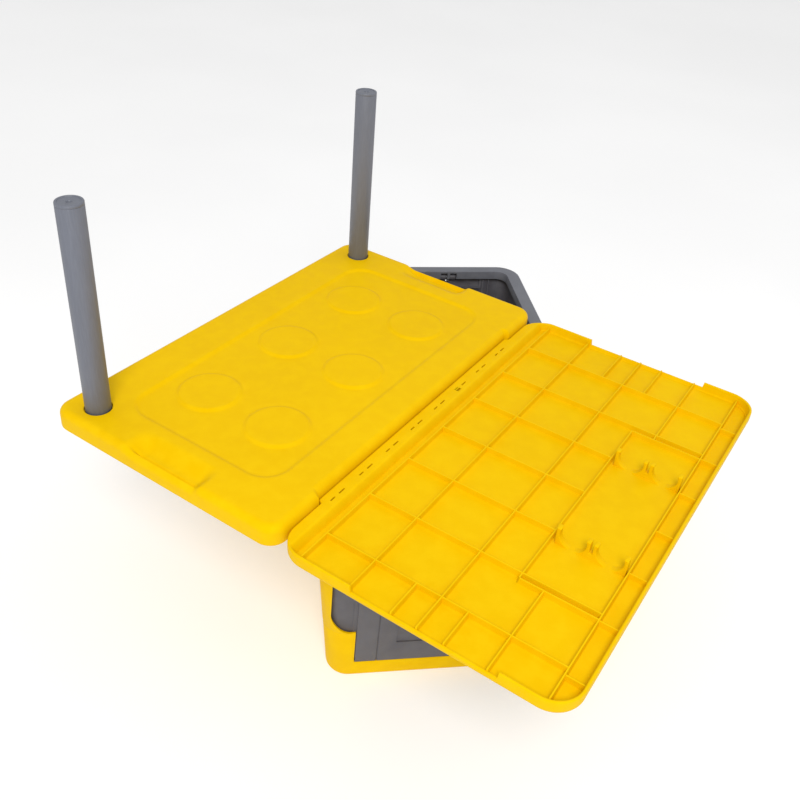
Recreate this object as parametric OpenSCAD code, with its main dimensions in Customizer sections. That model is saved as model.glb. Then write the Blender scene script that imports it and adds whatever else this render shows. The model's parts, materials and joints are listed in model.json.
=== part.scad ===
// Folding storage crate with a fold-out table lid and plug-in legs.
// The lid lies upside-down across the crate, opened flat, with both legs standing in the leaf.
// Row frame: origin on the floor under the crate's centre, X across the crate, Y along it.
// Lid frame: origin on the hinge line at the table face, X from leaf to lid, Y along the hinge.

/* [Crate] */
// Width across the rim
crate_w = 312; // [300:1:330]
// Length along the rim
crate_l = 507; // [500:1:530]
// Height of the crate with its walls up
crate_h = 244; // [225:1:250]
// Width of the flat rim band
rim_band = 18; // [17:0.5:20]
// How much narrower each side is at the floor than under the rim
wall_taper = 16; // [10:1:18]
// Thickness of the moulded walls
wall_t = 2.5; // [2:0.1:2.8]

/* [Table lid] */
// Length of both panels along the hinge
panel_l = 500; // [490:1:510]
// Distance from the hinge line to the lid's outer edge
lid_w = 287; // [285:1:295]
// Distance from the hinge line to the leaf's outer edge
leaf_w = 290; // [285:1:295]
// Corner radius of the lid
lid_r = 28; // [24:1:32]
// Corner radius of the leaf
leaf_r = 18; // [16:1:32]
// Thickness of the closed leaf
leaf_t = 23.5; // [22:0.5:26]
// Height of the lid tray's outer wall
tray_h = 14; // [13:0.5:15]
// Height of the stiffening ribs
rib_h = 9.5; // [8:0.5:11]

/* [Legs] */
// Outer diameter of a leg
leg_d = 26; // [25:0.5:27]
// Length of a leg standing out of the leaf
leg_out = 225; // [200:1:230]
// Distance of the legs from the hinge line
leg_x = 253; // [250:1:256]
// Distance of the legs from the middle of the leaf
leg_y = 222; // [218:1:225]

/* [Place of the lid on the crate] */
// Turn of the lid about the vertical
lid_turn = 41.4; // [35:0.1:45]
// Hinge line's middle, across the crate
seam_x = -28.1; // [-35:0.1:-20]
// Hinge line's middle, along the crate
seam_y = -95.8; // [-100:0.1:-90]

/* [Hidden] */
$fn = 64;

yellow = "#F2BE00";
grey = "#6C6C76";
steel = "#B8BCC2";
eps = 0.01;

// Crate walls
rim_overhang = 3.5;
corner_r = 25;
band_h = 23;
base_inset = 0.8;
post_inset = base_inset + wall_t + 0.2;
post_t = 2.2;
mid_h = 0.655 * crate_h;
panel_half = 107;
window_half = 134.5;
side_h = 74.5;
sweep_r = 25;
post_reach = 140;
clip_back = 3.2;
clip_out = [4, 5.4];
clip_up_y = [-60, 0, 60];
clip_down_y = [-90, -30, 30, 90];
rod_l = 208;
rod_in = wall_t + 3.6;
lean = atan(wall_taper / crate_h);
// Rim
rim_r = 28;
rim_inner_r = 14;
rim_plate_t = 3;
rim_step = 2;
rim_step_in = 4;
skirt_t = 3;
skirt_h = 16;
inner_skirt_t = 2.5;
inner_skirt_h = 12;
wall_top = crate_h - rim_plate_t;
// End panels and their pivots
pivot_in = 10.5;
pivot_z = crate_h - 12;
pivot_x = 57.5;
pivot_above = 3.5;
pin_r = 2.5;
run_gap = 0.05;
barrel_r = 4.5;
barrel_l = 9;
bracket_w = 3.4;
notch_w = 9.6;
bracket_gap = 0.5;
panel_t = 3;
panel_z0 = band_h + 0.6;
groove_x = 84;
recess_half = 64;
recess_z0 = 30.5;
recess_h = 38;
strip_out = 4.5;
strip_y = 5;
// Hinge between lid and leaf
hinge_x = -3;
hinge_z = -0.3;
seam_gap = 1;
flange_jog = 4.5;
flange_half = 183;
knuckle_r = 4.2;
knuckle_l = 9;
knuckle_gap = 0.4;
knuckle_relief = 0.6;
hinge_pin_r = 1.5;
station_pitch = 45.3;
station_mid = -6.5;
stations = 7;
slot_sets = 8;
slot_x = 7;
// Lid tray
tray_wall = 2.8;
tray_floor = 3;
channel_floor = 2.2;
rib_t = 1.8;
flange_w = 14;
flange_top = 12.5;
rib_a = 28;
rib_b = 81;
rib_c = 149;
rib_d = 191;
rib_e = 215;
rib_f = 266;
row_pitch = 66;
row_mid = -10;
notch_x0 = 84;
notch_x1 = 225;
notch_drop = 7;
bay_y0 = -149;
bay_y1 = 113;
// Leg clips in the lid
clip_y = [-82, 57];
clip_t = 7;
clip_top = 22;
store_x = [211.5, 247.5];
store_z = tray_floor + leg_d / 2;
store_gap = 0.3;
// Leaf
shell_t = 2.5;
skin_t = 2.5;
field_drop = 2.2;
field_x0 = -236;
field_x1 = -43.5;
field_y0 = -203;
field_y1 = 198;
field_r = 26;
disc_d = 66;
disc_rise = 2;
disc_x = [-188, -95];
disc_y = [-131, -3, 124];
scoop_x0 = -190;
scoop_x1 = -92;
scoop_in = 34;
scoop_floor = 9;
scoop_lip = 4;
scoop_lip_drop = 4;
// Legs
leg_wall = 1.8;
socket_gap = 0.3;
hole_gap = 1.3;
socket_wall = 2.4;
leg_lift = skin_t + 0.3;
cap_t = 3;
plug_l = 16;

// ---------- shared shapes ----------

// Rounded rectangle centred on the origin
module rounded(w, l, r) {
    square([w - 2 * r, l], center = true);
    square([w, l - 2 * r], center = true);
    for (x = [-1, 1], y = [-1, 1])
        translate([x * (w / 2 - r), y * (l / 2 - r)]) circle(r);
}

// Half width and half length of the crate's wall at height z
function half_w(z) = crate_w / 2 - rim_overhang - wall_taper * (1 - z / crate_h);
function half_l(z) = crate_l / 2 - rim_overhang - wall_taper * (1 - z / crate_h);

// Solid tapered block between two heights, set in from the wall's outer face
module tapered(z0, z1, inset) {
    hull()
        for (z = [z0, z1 - eps])
            translate([0, 0, z])
                linear_extrude(eps)
                    rounded(2 * (half_w(z) - inset), 2 * (half_l(z) - inset), corner_r - inset, $fn = 32);
}

// Tapered wall ring of one thickness
module ring(z0, z1, inset, t) {
    difference() {
        tapered(z0, z1, inset);
        tapered(z0 - 1, z1 + 1, inset + t);
    }
}

// Everything on one side of the crate beyond x = from
module beyond_x(side, from) {
    translate([side > 0 ? from : -crate_w - from, -crate_l, -1])
        cube([crate_w, 2 * crate_l, crate_h + 2]);
}

// Puts lid-frame shapes where the lid lies on the rim
module on_crate() {
    translate([seam_x, seam_y, crate_h]) rotate([0, 0, -lid_turn]) children();
}

function station_y(i) = station_mid + station_pitch * (i - (stations - 1) / 2);
function slot_y(i) = station_mid + station_pitch * (i - (slot_sets - 1) / 2);
function row_y(i) = row_mid + row_pitch * (i - 3);

// ---------- crate ----------

// Tray whose long sides stand higher than its ends
module base_tray() {
    color(yellow)
    difference() {
        tapered(0, side_h, base_inset);
        tapered(wall_t, side_h + 1, base_inset + wall_t);
        translate([-panel_half - 1, -crate_l, band_h]) cube([2 * panel_half + 2, 2 * crate_l, crate_h]);
    }
    for (side = [-1, 1], y = clip_down_y) fold_clip(side, y, 0, side_h);
}

// Lower folding half of a long wall, wrapping round both corners with a swept edge
module lower_side(side) {
    color(yellow)
    difference() {
        intersection() {
            ring(side_h, mid_h, 0, wall_t);
            beyond_x(side, panel_half + 1);
        }
        translate([0, crate_l, 0]) rotate([90, 0, 0]) linear_extrude(2 * crate_l)
            difference() {
                translate([-window_half, side_h]) square([2 * window_half, crate_h]);
                for (x = [-1, 1])
                    difference() {
                        translate([x * (window_half - sweep_r / 2), side_h + sweep_r / 2])
                            square(sweep_r, center = true);
                        translate([x * (window_half - sweep_r), side_h + sweep_r]) circle(sweep_r);
                    }
            }
    }
    for (y = clip_up_y) fold_clip(side, y, 1, side_h);
    for (y = clip_down_y) fold_clip(side, y, 0, mid_h);
}

// Upper folding half of a long wall, up to the rim
module upper_side(side) {
    color(yellow)
    intersection() {
        ring(mid_h, wall_top, 0, wall_t);
        beyond_x(side, window_half);
    }
    for (y = clip_up_y) fold_clip(side, y, 1, mid_h);
}

// Distance of a fold rod from the crate's middle
function rod_x(z) = half_w(z) - rod_in - (z < mid_h ? base_inset : 0);

// Block on a wall's inner face, with the fold rod through it
module fold_clip(side, y, up, z) {
    color(yellow)
    translate([side * rod_x(z), y, z])
        difference() {
            translate([side > 0 ? -clip_back : -clip_out[up], -8, up > 0 ? 0.1 : -8])
                cube([clip_back + clip_out[up], 16, 7.9]);
            translate([0, 10, 0]) rotate([90, 0, 0]) cylinder(r = 2.3, h = 20);
        }
}

// Steel rod along a long wall's fold
module fold_rod(side, z) {
    color(steel)
    translate([side * rod_x(z), rod_l / 2, z]) rotate([90, 0, 0]) cylinder(r = 2, h = rod_l);
}

// Grey liner that wraps a corner inside the long wall, between the base and the rim
module corner_post(side, fore) {
    color(grey)
    intersection() {
        ring(band_h, wall_top, post_inset, post_t);
        beyond_x(side, panel_half + 1);
        translate([-crate_w, fore > 0 ? crate_l / 2 - rim_overhang - post_reach
                                      : -crate_l - crate_l / 2 + rim_overhang + post_reach, 0])
            cube([2 * crate_w, crate_l, crate_h]);
    }
}

// Flat band with an outer skirt, an inner skirt and the end panels' pivot brackets
module rim_frame() {
    inner_w = crate_w - 2 * rim_band;
    inner_l = crate_l - 2 * rim_band;
    color(grey) {
        difference() {
            union() {
                translate([0, 0, crate_h - skirt_h])
                    linear_extrude(skirt_h - rim_step) rounded(crate_w, crate_l, rim_r);
                translate([0, 0, crate_h - skirt_h])
                    linear_extrude(skirt_h)
                        rounded(crate_w - 2 * rim_step_in, crate_l - 2 * rim_step_in, rim_r - rim_step_in);
            }
            // Hollow under the band, between the two skirts
            translate([0, 0, crate_h - skirt_h - 1])
                linear_extrude(skirt_h + 1 - rim_plate_t)
                    difference() {
                        rounded(crate_w - 2 * skirt_t, crate_l - 2 * skirt_t, rim_r - skirt_t);
                        rounded(inner_w + 2 * inner_skirt_t, inner_l + 2 * inner_skirt_t,
                                rim_inner_r + inner_skirt_t);
                    }
            // The inner skirt is shorter than the outer one
            translate([0, 0, crate_h - skirt_h - 1])
                linear_extrude(skirt_h + 1 - inner_skirt_h)
                    rounded(inner_w + 2 * inner_skirt_t + eps, inner_l + 2 * inner_skirt_t + eps,
                            rim_inner_r + inner_skirt_t);
            translate([0, 0, crate_h - skirt_h - 2])
                linear_extrude(skirt_h + 4) rounded(inner_w, inner_l, rim_inner_r);
            // Notches in the inner skirt in front of the barrels
            for (x = [-pivot_x, pivot_x], s = [-1, 1])
                translate([x + s * (bracket_w + notch_w) / 2 - notch_w / 2,
                           -inner_l / 2 - inner_skirt_t - 0.5, crate_h - skirt_h])
                    cube([notch_w, inner_l + 2 * inner_skirt_t + 1, skirt_h - rim_plate_t]);
        }
        for (fore = [-1, 1], x = [-pivot_x, pivot_x]) pivot_bracket(fore, x);
    }
}

// Lug hanging from the rim with the running bore for one pivot pin
module pivot_bracket(fore, x) {
    difference() {
        translate([x - bracket_w / 2, fore * (crate_l / 2 - pivot_in) - 4, pivot_z - 5])
            cube([bracket_w, 8, crate_h - rim_plate_t + eps - pivot_z + 5]);
        translate([x - bracket_w, fore * (crate_l / 2 - pivot_in), pivot_z])
            rotate([0, 90, 0]) cylinder(r = pin_r + run_gap, h = 2 * bracket_w);
    }
}

// End wall that hangs from the rim and swings into the crate, drawn for the front
module end_panel() {
    len = (pivot_z + pivot_above - panel_z0) / cos(lean);
    color(grey)
    difference() {
        union() {
            translate([0, -half_l(panel_z0) + 1, panel_z0]) rotate([lean, 0, 0]) {
                translate([-panel_half, 0, 0]) cube([2 * panel_half, panel_t, len]);
                // Stiffening ribs on the inner face
                for (x = [-panel_half + 1, -groove_x, groove_x - 2, panel_half - 3])
                    translate([x, panel_t - eps, 4]) cube([2, 3, len - 26]);
                // Edge strips that close the gap to the corner liners
                for (x = [-panel_half - strip_out, panel_half - 3])
                    translate([x, strip_y, 4]) cube([strip_out + 3, 6 - strip_y, len - 26]);
                for (z = [4, len / 2, len - 24])
                    translate([-panel_half + 1, panel_t - eps, z]) cube([2 * panel_half - 2, 3, 2]);
            }
            // Barrels either side of each bracket
            for (x = [-pivot_x, pivot_x], s = [-1, 1])
                translate([x + s * (bracket_w / 2 + bracket_gap + barrel_l / 2) - barrel_l / 2,
                           -crate_l / 2 + pivot_in, pivot_z])
                    rotate([0, 90, 0]) cylinder(r = barrel_r, h = barrel_l);
        }
        // Room for the brackets
        for (x = [-pivot_x, pivot_x])
            translate([x - bracket_w / 2 - bracket_gap, -crate_l / 2, pivot_z - 9])
                cube([bracket_w + 2 * bracket_gap, 40, 30]);
        // Bores for the pins
        for (x = [-pivot_x, pivot_x])
            translate([x - 20, -crate_l / 2 + pivot_in, pivot_z])
                rotate([0, 90, 0]) cylinder(r = pin_r, h = 40);
        // Grooves and the shallow recess on the outer face
        translate([0, -half_l(panel_z0) + 1, panel_z0]) rotate([lean, 0, 0]) {
            for (x = [-groove_x, groove_x])
                translate([x - 0.6, -1, -1]) cube([1.2, 1.8, len + 2]);
            translate([-recess_half, -1, recess_z0]) cube([2 * recess_half, 2.2, recess_h]);
        }
    }
}

module end_panel_front() { end_panel(); }
module end_panel_rear() { mirror([0, 1, 0]) end_panel(); }

// Two pins of one end panel
module end_pivot_pins(fore) {
    pin_l = bracket_w + 2 * bracket_gap + 2 * barrel_l;
    color(steel)
    for (x = [-pivot_x, pivot_x])
        translate([x - pin_l / 2, fore * (crate_l / 2 - pivot_in), pivot_z])
            rotate([0, 90, 0]) cylinder(r = pin_r, h = pin_l);
}

// ---------- lid tray, in the lid frame ----------

// Outline of the lid: a rounded panel whose hinge edge has a flange standing out to the leaf
module lid_outline(inset) {
    edge = hinge_x + seam_gap / 2 + flange_jog;
    difference() {
        union() {
            translate([(edge + lid_w) / 2, 0])
                rounded(lid_w - edge - 2 * inset, panel_l - 2 * inset, lid_r - inset);
            translate([edge - flange_jog + inset, -flange_half + inset])
                square([flange_jog + lid_r, 2 * (flange_half - inset)]);
        }
    }
}

// One upright rib along the hinge direction, or across it
module rib_y(x, y0, y1, top) {
    translate([x - rib_t / 2, y0, channel_floor - eps]) cube([rib_t, y1 - y0, top - channel_floor]);
}
module rib_x(y, x0, x1, top) {
    translate([x0, y - rib_t / 2, channel_floor - eps]) cube([x1 - x0, rib_t, top - channel_floor]);
}

// Knuckle of the table hinge: one side of a station belongs to the lid, the other to the leaf
module knuckle(i, side, r, h) {
    translate([hinge_x, station_y(i) + side * (knuckle_l + knuckle_gap) / 2 + h / 2, hinge_z])
        rotate([90, 0, 0]) cylinder(r = r, h = h);
}

module lid_tray() {
    wall_in = panel_l / 2 - tray_wall + eps;
    color(yellow)
    on_crate()
    difference() {
        union() {
            difference() {
                linear_extrude(tray_h) lid_outline(0);
                // Tray hollow, deeper in the outer channel
                translate([0, 0, tray_floor])
                    linear_extrude(tray_h)
                        intersection() {
                            lid_outline(tray_wall);
                            translate([flange_w, -panel_l]) square([rib_f - flange_w, 2 * panel_l]);
                        }
                translate([0, 0, channel_floor])
                    linear_extrude(tray_h)
                        intersection() {
                            lid_outline(tray_wall);
                            translate([rib_f, -panel_l]) square([lid_w, 2 * panel_l]);
                        }
                // The hinge flange is a little lower than the wall
                translate([hinge_x, -panel_l, flange_top]) cube([flange_w - hinge_x, 2 * panel_l, tray_h]);
                // Both short walls are cut down along their middle
                for (y = [-panel_l / 2 - 1, panel_l / 2 - tray_wall - 1])
                    translate([notch_x0, y, tray_h - notch_drop])
                        cube([notch_x1 - notch_x0, tray_wall + 2, tray_h]);
            }
            intersection() {
                linear_extrude(tray_h) lid_outline(eps);
                union() {
                    // Full-length ribs
                    for (x = [rib_a, rib_b, rib_c, rib_f]) rib_y(x, -wall_in, wall_in, rib_h);
                    // Rib D bounds the leg bay, rib E runs only outside it
                    rib_y(rib_d, bay_y0, bay_y1, rib_h);
                    rib_y(rib_e, -wall_in, bay_y0, rib_h);
                    rib_y(rib_e, bay_y1, wall_in, rib_h);
                    // Cross ribs
                    for (i = [0 : 6])
                        if (i > 1 && i < 5) rib_x(row_y(i), rib_a, rib_d, rib_h);
                        else rib_x(row_y(i), rib_a, rib_f, rib_h);
                    for (y = [bay_y0, bay_y1]) rib_x(y, rib_d, rib_f, rib_h);
                    for (i = [0 : 6]) rib_x(row_y(i) - 7, rib_f, lid_w - 1, rib_h - 1);
                    // Short ribs in the end strips
                    for (x = [(rib_b + rib_c) / 2 + 9, (rib_c + rib_d) / 2 + 5]) {
                        rib_y(x, -wall_in, row_y(0), rib_h);
                        rib_y(x, row_y(6), wall_in, rib_h);
                    }
                }
            }
        }
        // Paired slots through the hinge flange
        for (i = [0 : slot_sets - 1]) {
            translate([slot_x - 0.8, slot_y(i) - 11, -1]) cube([1.6, 7, tray_h + 2]);
            translate([slot_x - 0.8, slot_y(i) + 2, -1]) cube([1.6, 9, tray_h + 2]);
        }
        // Relief round the leaf's knuckles, and seats for the lid's own
        for (i = [0 : stations - 1]) {
            knuckle(i, -1, knuckle_r + knuckle_relief, knuckle_l + 2 * knuckle_gap);
            knuckle(i, 1, knuckle_r, knuckle_l);
        }
    }
}

// The lid's knuckles grip the hinge pins
module lid_knuckles() {
    color(yellow)
    on_crate()
    for (i = [0 : stations - 1])
        difference() {
            knuckle(i, 1, knuckle_r, knuckle_l);
            knuckle(i, 1, hinge_pin_r, knuckle_l + 2);
        }
}

// One clip wall with two snap-in saddles for the stowed legs
module leg_clip(y) {
    x0 = store_x[0] - leg_d / 2 - 3.4;
    x1 = store_x[1] + leg_d / 2 + 3.4;
    color(yellow)
    on_crate()
    difference() {
        translate([x0, y - clip_t / 2, tray_floor]) cube([x1 - x0, clip_t, clip_top - tray_floor]);
        for (x = store_x) {
            translate([x, y + clip_t, store_z + store_gap]) rotate([90, 0, 0])
                cylinder(r = leg_d / 2 + store_gap, h = 2 * clip_t);
            translate([x - leg_d / 2 + 0.6, y - clip_t, store_z + 2]) cube([leg_d - 1.2, 2 * clip_t, leg_d]);
        }
        // Gap between the two middle arms
        translate([(store_x[0] + store_x[1]) / 2 - 1.6, y - clip_t, store_z - 6])
            cube([3.2, 2 * clip_t, leg_d]);
    }
}

// Steel pins, one through each station
module hinge_pins() {
    pin_l = 2 * knuckle_l + knuckle_gap;
    color(steel)
    on_crate()
    for (i = [0 : stations - 1])
        translate([hinge_x, station_y(i) + pin_l / 2, hinge_z])
            rotate([90, 0, 0]) cylinder(r = hinge_pin_r, h = pin_l);
}

// ---------- leaf, in the lid frame ----------

// Outline of the leaf: its hinge edge is set back to clear the lid's flange
module leaf_outline(inset) {
    edge = hinge_x - seam_gap / 2 + flange_jog;
    difference() {
        translate([(edge - leaf_w) / 2, 0])
            rounded(leaf_w + edge - 2 * inset, panel_l - 2 * inset, leaf_r - inset);
        translate([edge - flange_jog - inset, -flange_half - seam_gap - inset])
            square([leaf_r, 2 * (flange_half + seam_gap + inset)]);
    }
}

// Finger scoop in the middle of a short side, behind a low lip
module scoop_cut(side) {
    w = scoop_x1 - scoop_x0;
    translate([(scoop_x0 + scoop_x1) / 2, side * (panel_l / 2 - scoop_in / 2 - scoop_lip / 2), scoop_floor])
        linear_extrude(leaf_t) rounded(w, scoop_in - scoop_lip, 9);
    translate([scoop_x0 + 6, side > 0 ? panel_l / 2 - scoop_lip - 6 : -panel_l / 2 - 6,
               leaf_t - scoop_lip_drop])
        cube([w - 12, scoop_lip + 12, leaf_t]);
}

// Wall and floor that line a scoop inside the hollow leaf
module scoop_liner(side) {
    w = scoop_x1 - scoop_x0 + 2 * shell_t;
    translate([(scoop_x0 + scoop_x1) / 2, side * (panel_l / 2 - scoop_in / 2 - scoop_lip / 2),
               scoop_floor - shell_t])
        linear_extrude(leaf_t - 1 - scoop_floor + shell_t) rounded(w, scoop_in - scoop_lip + 2 * shell_t, 11);
}

module leaf_shell() {
    color(yellow)
    on_crate()
    difference() {
        union() {
            difference() {
                translate([0, 0, skin_t]) linear_extrude(leaf_t - skin_t) leaf_outline(0);
                // Hollow inside, open below where the table skin closes it
                translate([0, 0, skin_t - 1])
                    linear_extrude(leaf_t - skin_t - shell_t - field_drop + 1) leaf_outline(shell_t);
                // Sunken field
                translate([(field_x0 + field_x1) / 2, (field_y0 + field_y1) / 2, leaf_t - field_drop])
                    linear_extrude(leaf_t) rounded(field_x1 - field_x0, field_y1 - field_y0, field_r);
            }
            for (x = disc_x, y = disc_y)
                translate([x, y, leaf_t - field_drop - 1]) cylinder(d = disc_d, h = 1 + disc_rise);
            for (s = [-1, 1]) scoop_liner(s);
            // Solid edge that seats the leaf's knuckles
            translate([hinge_x - seam_gap / 2 - 5, -flange_half, skin_t])
                cube([5, 2 * flange_half, 8]);
        }
        for (s = [-1, 1]) scoop_cut(s);
        for (y = [-leg_y, leg_y])
            translate([-leg_x, y, skin_t]) cylinder(d = leg_d + 2 * hole_gap, h = leaf_t);
        for (i = [0 : stations - 1]) {
            knuckle(i, 1, knuckle_r + knuckle_relief, knuckle_l + 2 * knuckle_gap);
            knuckle(i, -1, knuckle_r, knuckle_l);
        }
    }
}

// The leaf's knuckles turn on the hinge pins
module leaf_knuckles() {
    color(yellow)
    on_crate()
    for (i = [0 : stations - 1])
        difference() {
            knuckle(i, -1, knuckle_r, knuckle_l);
            knuckle(i, -1, hinge_pin_r + run_gap, knuckle_l + 2);
        }
}

// Flat table face that closes the leaf
module leaf_table_skin() {
    color(yellow)
    on_crate()
    difference() {
        linear_extrude(skin_t) leaf_outline(0);
        for (i = [0 : stations - 1]) {
            knuckle(i, 1, knuckle_r + knuckle_relief, knuckle_l + 2 * knuckle_gap);
            knuckle(i, -1, knuckle_r, knuckle_l);
        }
    }
}

// Tube inside the leaf that a leg plugs into
module leg_socket(side) {
    color(yellow)
    on_crate()
    translate([-leg_x, side * leg_y, skin_t])
        difference() {
            cylinder(d = leg_d + 2 * socket_gap + 2 * socket_wall, h = leaf_t - skin_t - shell_t - field_drop);
            translate([0, 0, -1]) cylinder(d = leg_d + 2 * socket_gap, h = leaf_t);
        }
}

// ---------- legs, in the lid frame ----------

module at_leg(side) {
    on_crate() translate([-leg_x, side * leg_y, 0]) children();
}

module leg_tube(side) {
    color(grey)
    at_leg(side)
    translate([0, 0, leg_lift + cap_t])
        difference() {
            cylinder(d = leg_d, h = leaf_t + leg_out - leg_lift - 2 * cap_t);
            translate([0, 0, -1]) cylinder(d = leg_d - 2 * leg_wall, h = leaf_t + leg_out);
        }
}

// Closed foot at the free end, with a shallow dish and a centre dimple
module leg_cap(side) {
    color(grey)
    at_leg(side)
    translate([0, 0, leaf_t + leg_out - cap_t])
        difference() {
            union() {
                cylinder(d = leg_d, h = cap_t);
                translate([0, 0, -plug_l + cap_t]) cylinder(d = leg_d - 2 * leg_wall - 0.2, h = plug_l - cap_t + eps);
            }
            translate([0, 0, cap_t - 0.8]) cylinder(d = leg_d - 6, h = 2);
            translate([0, 0, cap_t - 2]) cylinder(d = 5, h = 3);
        }
}

// Plug at the end that stands in the leaf
module leg_plug(side) {
    color(grey)
    at_leg(side)
    translate([0, 0, leg_lift]) {
        cylinder(d = leg_d, h = cap_t);
        translate([0, 0, cap_t - eps]) cylinder(d = leg_d - 2 * leg_wall - 0.2, h = plug_l - cap_t);
    }
}

base_tray();
lower_side(-1);  // lower_side_left
lower_side(1);  // lower_side_right
upper_side(-1);  // upper_side_left
upper_side(1);  // upper_side_right
corner_post(-1, -1);  // corner_post_front_left
corner_post(1, -1);  // corner_post_front_right
corner_post(-1, 1);  // corner_post_rear_left
corner_post(1, 1);  // corner_post_rear_right
rim_frame();
fold_rod(-1, mid_h);  // side_hinge_rod_left
fold_rod(1, mid_h);  // side_hinge_rod_right
fold_rod(-1, side_h);  // base_hinge_rod_left
fold_rod(1, side_h);  // base_hinge_rod_right
end_panel_front();
end_panel_rear();
end_pivot_pins(-1);  // end_pivot_pins_front
end_pivot_pins(1);  // end_pivot_pins_rear
lid_tray();
lid_knuckles();
leg_clip(clip_y[0]);  // leg_clip_front
leg_clip(clip_y[1]);  // leg_clip_rear
hinge_pins();
leaf_shell();
leaf_table_skin();
leaf_knuckles();
leg_socket(-1);  // leg_socket_front
leg_socket(1);  // leg_socket_rear
leg_tube(-1);  // leg_tube_front
leg_tube(1);  // leg_tube_rear
leg_cap(-1);  // leg_cap_front
leg_cap(1);  // leg_cap_rear
leg_plug(-1);  // leg_plug_front
leg_plug(1);  // leg_plug_rear
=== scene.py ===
"""Looks of a folding storage crate whose table lid lies open and upside-down across it."""
import json
import math

import bmesh
import bpy
import numpy as np
from mathutils import Matrix, Vector


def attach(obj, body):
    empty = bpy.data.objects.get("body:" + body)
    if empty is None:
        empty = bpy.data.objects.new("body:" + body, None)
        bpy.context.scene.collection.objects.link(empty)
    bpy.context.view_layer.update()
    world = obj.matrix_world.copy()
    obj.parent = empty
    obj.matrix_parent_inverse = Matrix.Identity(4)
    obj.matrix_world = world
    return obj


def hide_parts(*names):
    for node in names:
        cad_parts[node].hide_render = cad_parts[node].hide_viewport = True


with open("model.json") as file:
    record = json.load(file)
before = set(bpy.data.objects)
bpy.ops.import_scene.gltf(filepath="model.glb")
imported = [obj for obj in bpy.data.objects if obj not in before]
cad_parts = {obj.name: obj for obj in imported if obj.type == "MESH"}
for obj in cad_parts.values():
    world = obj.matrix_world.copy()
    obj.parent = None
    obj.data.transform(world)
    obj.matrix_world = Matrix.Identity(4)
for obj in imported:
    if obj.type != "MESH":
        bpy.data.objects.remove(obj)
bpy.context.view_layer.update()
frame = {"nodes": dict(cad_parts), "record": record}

MM = 0.001

# ---------- the lid's own frame: origin on the hinge line, X from leaf to lid, Y along the hinge ----------

HINGE_X = -3.0      # hinge pin, in the lid frame
HINGE_Z = -0.3
hinge = next(j for j in frame["record"]["behaviour"]["joints"] if j["name"] == "leaf_fold")
LID_TURN = math.atan2(-hinge["axis"][0], -hinge["axis"][1])
turned = Matrix.Rotation(-LID_TURN, 4, "Z")
LID = Matrix.Translation(Vector(hinge["pos_m"]) - turned @ Vector((HINGE_X * MM, 0, HINGE_Z * MM))) @ turned

# Sizes in the lid frame, in millimetres
PANEL_L = 500.0
LID_W = 287.0
LEAF_W = 290.0
LID_R = 28.0
LEAF_R = 18.0
LEAF_T = 23.5
TRAY_H = 14.0
RIB_H = 9.5
TRAY_FLOOR = 3.2
CHANNEL_FLOOR = 2.2
FLANGE_TOP = 12.5
FLANGE_HALF = 183.0
JOG = 4.5
LEG_R = 13.0
LEG_X = -253.0
LEG_Y = 222.0
LEG_OUT = 225.0


# ---------- small helpers ----------

def step(edge0, edge1, x):
    """Smooth 0 to 1 between two edges, on arrays."""
    t = np.clip((x - edge0) / (edge1 - edge0), 0.0, 1.0)
    return t * t * (3.0 - 2.0 * t)


def round_rect(x, y, x0, x1, y0, y1, r):
    """Signed distance to a rounded rectangle, negative inside."""
    qx = np.abs(x - (x0 + x1) / 2) - ((x1 - x0) / 2 - r)
    qy = np.abs(y - (y0 + y1) / 2) - ((y1 - y0) / 2 - r)
    outside = np.hypot(np.maximum(qx, 0), np.maximum(qy, 0))
    return outside + np.minimum(np.maximum(qx, qy), 0) - r


def make_object(name, verts_mm, faces, matrix=None, smooth_angle=40):
    """A new mesh object from millimetre vertices, placed by matrix and shaded smooth by angle."""
    matrix = LID if matrix is None else matrix
    mesh = bpy.data.meshes.new(name)
    mesh.from_pydata([tuple(float(c) * MM for c in v) for v in verts_mm], [], faces)
    mesh.transform(matrix)
    mesh.validate()
    ob = bpy.data.objects.new(name, mesh)
    bpy.context.scene.collection.objects.link(ob)
    shade(ob, smooth_angle)
    return ob


def shade(ob, angle):
    """Consistent normals outside, smooth shading that keeps edges sharper than angle."""
    bm = bmesh.new()
    bm.from_mesh(ob.data)
    bmesh.ops.recalc_face_normals(bm, faces=bm.faces)
    for f in bm.faces:
        f.smooth = True
    for e in bm.edges:
        if len(e.link_faces) == 2:
            e.smooth = e.calc_face_angle(0) < math.radians(angle)
    bm.to_mesh(ob.data)
    bm.free()


def combine(target, tool, how):
    """Boolean of two closed meshes, applied to target; the tool object is removed."""
    mod = target.modifiers.new("combine", "BOOLEAN")
    mod.operation = how
    mod.solver = "EXACT"
    mod.object = tool
    depsgraph = bpy.context.evaluated_depsgraph_get()
    mesh = bpy.data.meshes.new_from_object(target.evaluated_get(depsgraph))
    target.modifiers.remove(mod)
    target.data = mesh
    bpy.data.objects.remove(tool)


def bevel(ob, width_mm, segments=2, angle=40):
    """Rounds the edges of a mesh object for good."""
    bm = bmesh.new()
    bm.from_mesh(ob.data)
    bmesh.ops.remove_doubles(bm, verts=bm.verts, dist=0.00002)
    sharp = [e for e in bm.edges if len(e.link_faces) == 2 and e.calc_face_angle(0) > math.radians(angle)]
    bmesh.ops.bevel(bm, geom=sharp, offset=width_mm * MM, segments=segments, profile=0.5,
                    affect="EDGES", clamp_overlap=True)
    bm.to_mesh(ob.data)
    bm.free()
    shade(ob, 35)


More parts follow.
